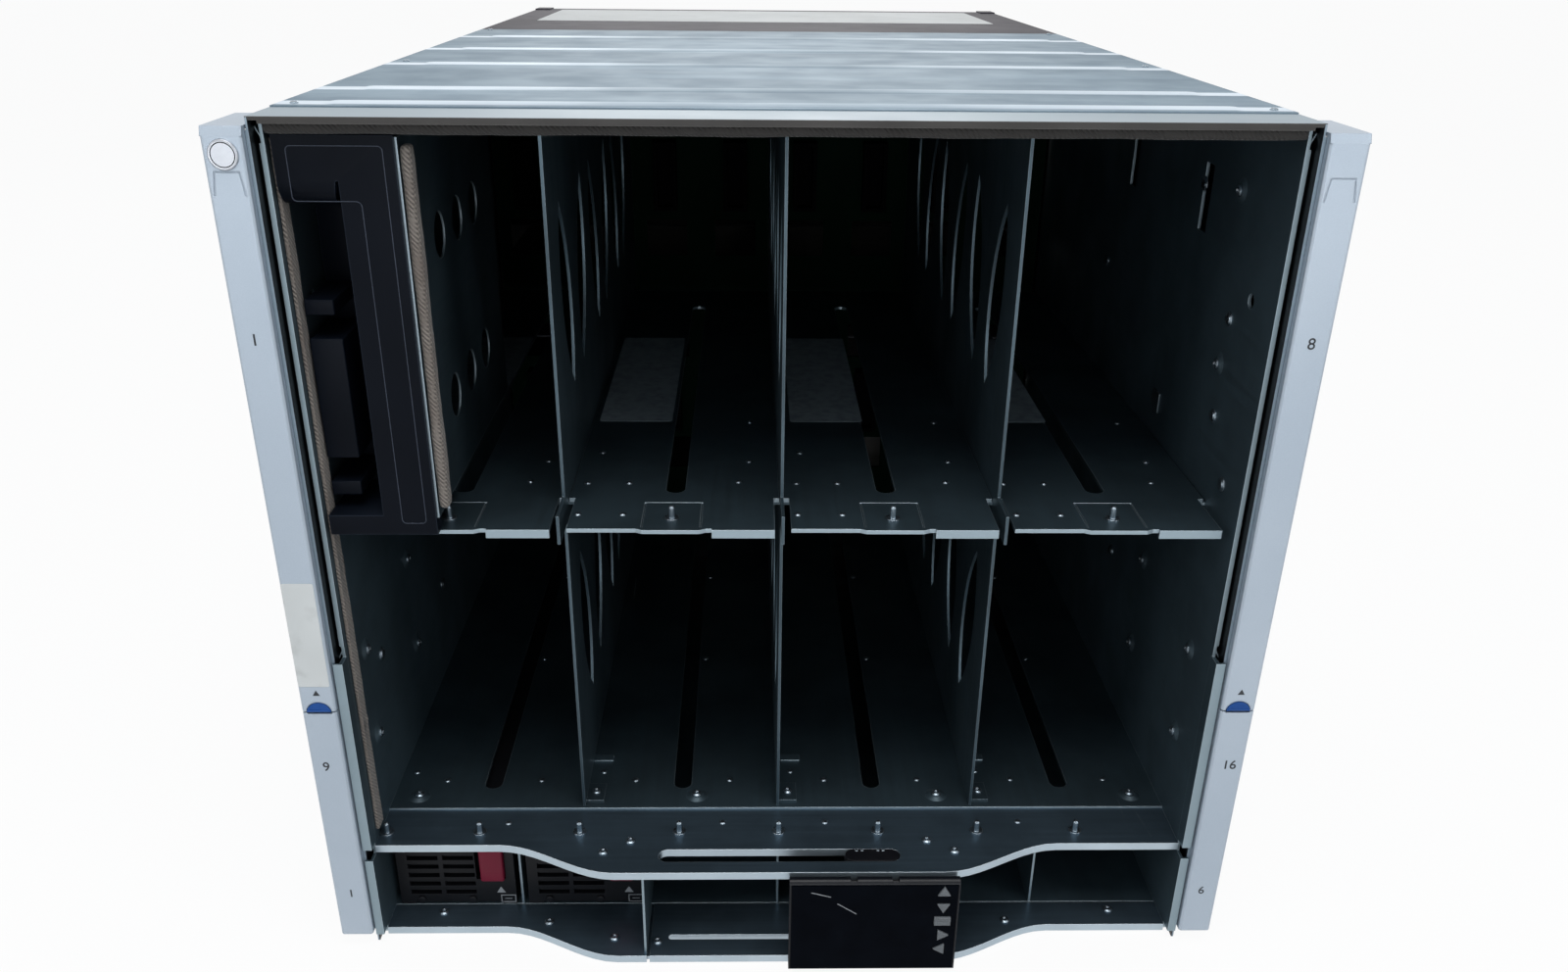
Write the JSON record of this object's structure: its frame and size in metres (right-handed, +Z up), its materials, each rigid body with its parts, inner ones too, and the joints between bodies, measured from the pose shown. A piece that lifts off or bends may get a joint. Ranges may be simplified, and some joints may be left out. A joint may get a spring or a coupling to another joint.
{
  "type": "blade server chassis",
  "caption": "Rack-mounted enclosure with device bays behind an open front, power-supply bays below, a sliding display on the front lip, and fan and interconnect bays at the back.",
  "frame": {"origin": "on the underside, on the centre line, in the plane of the rack flanges' front faces", "axes": "X across, with +X to the right seen from the front; +Y from the front to the back; +Z up"},
  "size_m": [0.4826, 0.8453, 0.442],
  "materials": {
    "panel_grey": "satin paint",
    "cover_grey": "satin paint",
    "cover_dark": "satin paint",
    "sheet_steel": "zinc-plated sheet",
    "bay_steel": "dark coating",
    "cage_dark": "dark coating",
    "pin_steel": "bright turned pins",
    "gasket": "woven conductive gasket",
    "board_green": "circuit board laminate",
    "connector_black": "moulded",
    "bezel_silver": "silver-painted moulding",
    "tab_blue": "moulded",
    "blank_black": "fine-textured moulding",
    "psu_black": "moulded",
    "latch_maroon": "moulded",
    "display_black": "gloss moulding",
    "lens_black": "smoked lens",
    "button_grey": "moulded",
    "rotor_black": "moulded",
    "blank_grey": "satin paint"
  },
  "bodies": {
    "chassis": {"base_plate": "sheet_steel", "front_sill": "sheet_steel", "left_side_panel": "panel_grey", "right_side_panel": "panel_grey", "left_bay_wall": "bay_steel", "right_bay_wall": "bay_steel", "top_front_rail": "cover_grey", "front_top_cover": "cover_grey", "rear_top_cover": "cover_dark", "front_apron": "sheet_steel", "bay_floor": "bay_steel", "guide_pins": "pin_steel", "zone_partition_left": "sheet_steel", "zone_partition_centre": "sheet_steel", "zone_partition_right": "sheet_steel", "bay_shelf_1": "bay_steel", "bay_shelf_2": "bay_steel", "bay_shelf_3": "bay_steel", "bay_shelf_4": "bay_steel", "top_gasket": "gasket", "wall_gasket": "gasket", "midplane_board": "board_green", "midplane_connectors": "connector_black", "psu_tray": "cage_dark", "psu_dividers": "cage_dark", "lower_left_bezel": "bezel_silver", "lower_right_bezel": "bezel_silver", "rear_cage": "cage_dark", "rear_dividers": "cage_dark", "interconnect_blanks": "blank_grey", "fan_blanks": "blank_grey", "fan_modules": "connector_black", "management_modules": "blank_grey", "power_inlet_panel": "blank_grey", "power_inlets": "connector_black", "panel_screws": "pin_steel"},
    "left_bezel": {"upper_left_bezel": "bezel_silver"},
    "right_bezel": {"upper_right_bezel": "bezel_silver"},
    "left_tab": {"left_release_tab": "tab_blue"},
    "right_tab": {"right_release_tab": "tab_blue"},
    "blank": {"blade_blank": "blank_black", "blade_blank_plate": "sheet_steel", "blade_blank_gasket": "gasket"},
    "supply_1": {"power_supply_1": "psu_black"},
    "supply_2": {"power_supply_2": "psu_black"},
    "latch_1": {"psu_latch_1": "latch_maroon"},
    "latch_2": {"psu_latch_2": "latch_maroon"},
    "slider": {"display_slider": "connector_black"},
    "display": {"display_housing": "display_black", "display_lens": "lens_black"},
    "button_1": {"display_button_1": "button_grey"},
    "button_2": {"display_button_2": "button_grey"},
    "button_3": {"display_button_3": "button_grey"},
    "button_4": {"display_button_4": "button_grey"},
    "button_5": {"display_button_5": "button_grey"},
    "rotor_1": {"fan_rotor_1": "rotor_black"},
    "rotor_2": {"fan_rotor_2": "rotor_black"},
    "rotor_3": {"fan_rotor_3": "rotor_black"},
    "rotor_4": {"fan_rotor_4": "rotor_black"}
  },
  "joints": [
    {"name": "left_bezel_slide", "type": "slide", "parent": "chassis", "child": "left_bezel", "axis": [0, 0, 1], "range_m": [0, 0.012]},
    {"name": "right_bezel_slide", "type": "slide", "parent": "chassis", "child": "right_bezel", "axis": [0, 0, 1], "range_m": [0, 0.012]},
    {"name": "left_tab_press", "type": "slide", "parent": "left_bezel", "child": "left_tab", "axis": [0, 1, 0], "range_m": [0, 0.0012], "stiffness_N_per_m": 600},
    {"name": "right_tab_press", "type": "slide", "parent": "right_bezel", "child": "right_tab", "axis": [0, 1, 0], "range_m": [0, 0.0012], "stiffness_N_per_m": 600},
    {"name": "blank_slide", "type": "slide", "parent": "chassis", "child": "blank", "axis": [0, -1, 0], "range_m": [0, 0.25]},
    {"name": "supply_1_slide", "type": "slide", "parent": "chassis", "child": "supply_1", "axis": [0, -1, 0], "range_m": [0, 0.38]},
    {"name": "latch_1_press", "type": "slide", "parent": "supply_1", "child": "latch_1", "axis": [-1, 0, 0], "range_m": [0, 0.0025], "stiffness_N_per_m": 500},
    {"name": "supply_2_slide", "type": "slide", "parent": "chassis", "child": "supply_2", "axis": [0, -1, 0], "range_m": [0, 0.38]},
    {"name": "latch_2_press", "type": "slide", "parent": "supply_2", "child": "latch_2", "axis": [-1, 0, 0], "range_m": [0, 0.0025], "stiffness_N_per_m": 500},
    {"name": "display_slide", "type": "slide", "parent": "chassis", "child": "slider", "axis": [1, 0, 0], "range_m": [-0.1, 0]},
    {"name": "display_tilt", "type": "hinge", "parent": "slider", "child": "display", "pos_m": [0.05, -0.02225, 0.05875], "axis": [-1, 0, 0], "range_deg": [0, 60]},
    {"name": "button_1_press", "type": "slide", "parent": "display", "child": "button_1", "axis": [0, 1, 0], "range_m": [0, 0.0008], "stiffness_N_per_m": 400},
    {"name": "button_2_press", "type": "slide", "parent": "display", "child": "button_2", "axis": [0, 1, 0], "range_m": [0, 0.0008], "stiffness_N_per_m": 400},
    {"name": "button_3_press", "type": "slide", "parent": "display", "child": "button_3", "axis": [0, 1, 0], "range_m": [0, 0.0008], "stiffness_N_per_m": 400},
    {"name": "button_4_press", "type": "slide", "parent": "display", "child": "button_4", "axis": [0, 1, 0], "range_m": [0, 0.0008], "stiffness_N_per_m": 400},
    {"name": "button_5_press", "type": "slide", "parent": "display", "child": "button_5", "axis": [0, 1, 0], "range_m": [0, 0.0008], "stiffness_N_per_m": 400},
    {"name": "rotor_1_spin", "type": "hinge", "parent": "chassis", "child": "rotor_1", "pos_m": [-0.1752, 0.778, 0.1155], "axis": [0, 1, 0], "continuous": true},
    {"name": "rotor_2_spin", "type": "hinge", "parent": "chassis", "child": "rotor_2", "pos_m": [-0.0876, 0.778, 0.1155], "axis": [0, 1, 0], "continuous": true},
    {"name": "rotor_3_spin", "type": "hinge", "parent": "chassis", "child": "rotor_3", "pos_m": [-0.1752, 0.778, 0.3793], "axis": [0, 1, 0], "continuous": true},
    {"name": "rotor_4_spin", "type": "hinge", "parent": "chassis", "child": "rotor_4", "pos_m": [-0.0876, 0.778, 0.3793], "axis": [0, 1, 0], "continuous": true}
  ]
}
